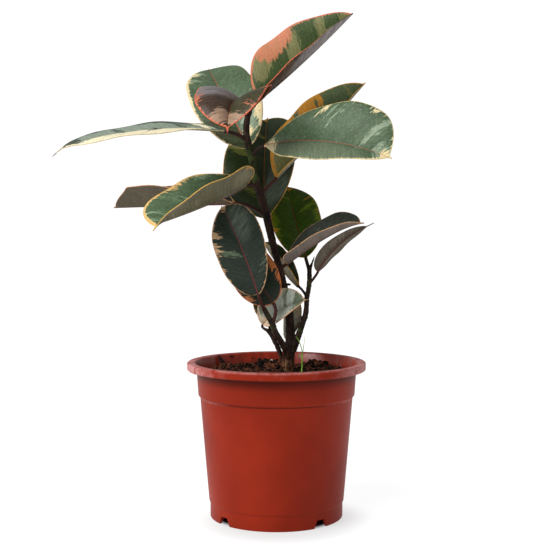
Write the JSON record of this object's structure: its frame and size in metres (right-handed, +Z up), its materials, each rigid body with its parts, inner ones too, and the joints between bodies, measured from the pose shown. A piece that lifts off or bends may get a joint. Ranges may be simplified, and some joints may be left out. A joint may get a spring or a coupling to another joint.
{
  "type": "potted variegated rubber plant",
  "caption": "Rubber plant with broad green and cream leaves on a forked woody stem, standing in soil in a round tapered plastic nursery pot with a rolled rim.",
  "frame": {"origin": "centre of the pot's underside, on the surface that it stands on", "axes": "+Z up along the pot's axis, -Y towards the side seen in front, +X to the right of that view"},
  "size_m": [0.3044, 0.1987, 0.4771],
  "materials": {
    "pot_plastic": "red-brown injection-moulded plastic, satin, scuffed",
    "potting_soil": "dark crumbly peat mix with bark chips",
    "bark": "dark brown bark, greener towards the top, with ringed leaf scars",
    "grass": "thin fresh green grass",
    "leaf": "leathery green leaf with cream and pink margins, satin above and matt brown-purple below"
  },
  "bodies": {
    "root": {"pot": "pot_plastic", "soil": "potting_soil", "woody_stem": "bark", "grass_seedling": "grass", "leaf_top_upright": "leaf", "leaf_top_arching": "leaf", "leaf_top_back": "leaf", "leaf_far_left": "leaf", "leaf_right_broad": "leaf", "leaf_right_back": "leaf", "leaf_left_folded": "leaf", "leaf_left_back": "leaf", "leaf_centre_back": "leaf", "leaf_low_left": "leaf", "leaf_low_under": "leaf", "leaf_right_round": "leaf", "leaf_mid_right": "leaf", "leaf_right_hanging": "leaf", "leaf_mid_small": "leaf", "leaf_low_pale": "leaf", "leaf_low_hidden": "leaf", "leaf_low_back": "leaf"}
  },
  "joints": []
}
